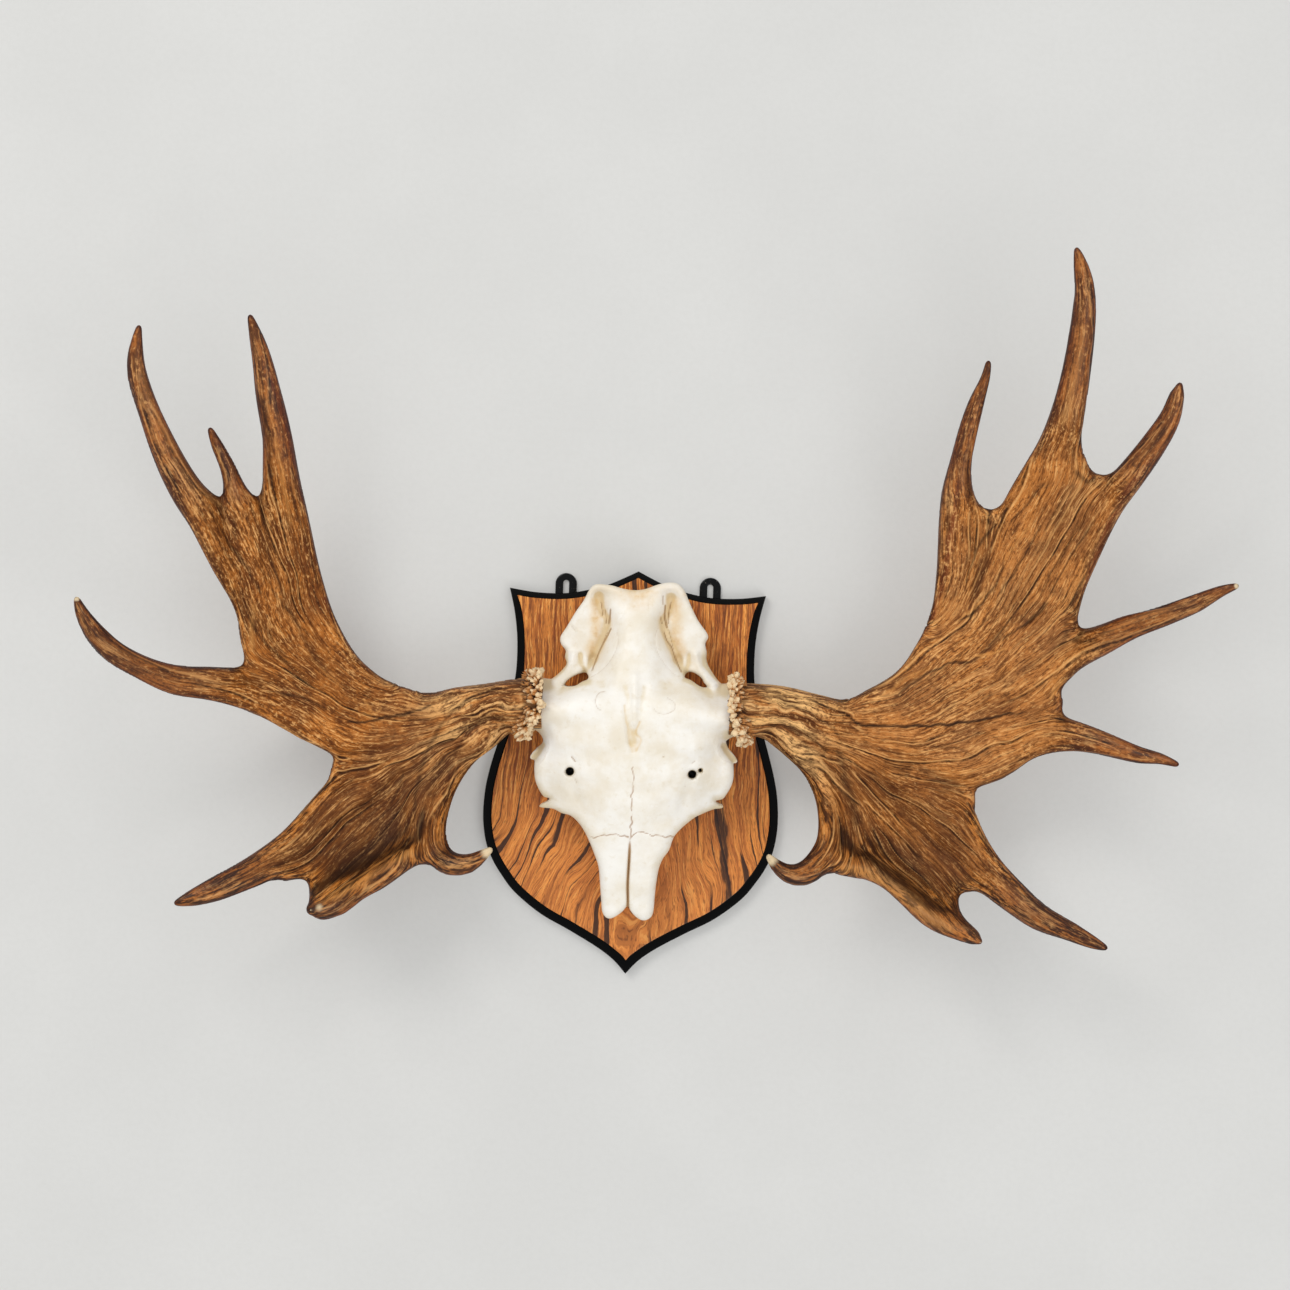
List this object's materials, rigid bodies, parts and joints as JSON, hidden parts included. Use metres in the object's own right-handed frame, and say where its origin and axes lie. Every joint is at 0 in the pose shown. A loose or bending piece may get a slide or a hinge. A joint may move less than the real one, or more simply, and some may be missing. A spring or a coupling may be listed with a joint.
{
  "type": "moose antlers on a board",
  "caption": "Moose antlers with broad toothed palms on a bleached upper skull, fixed to a shield-shaped wooden board with hanging loops.",
  "frame": {"origin": "middle of the board's flat back face, which lies on the floor here and against the wall when it hangs", "axes": "+Z out of the board's face, +Y along the board towards its crest (up when it hangs), +X to the right for someone facing the skull"},
  "size_m": [1.116, 0.7379, 0.2701],
  "materials": {
    "antler": "satin",
    "skull_bone": "satin",
    "board_wood": "satin",
    "black_hanger": "gloss",
    "screw_steel": "satin"
  },
  "bodies": {
    "root": {"antler_left_main": "antler", "antler_left_front": "antler", "antler_right_main": "antler", "antler_right_front": "antler", "skull": "skull_bone", "shield": "board_wood", "hanger_left": "black_hanger", "hanger_right": "black_hanger", "hanger_screw_left": "screw_steel", "hanger_screw_right": "screw_steel"}
  },
  "joints": []
}
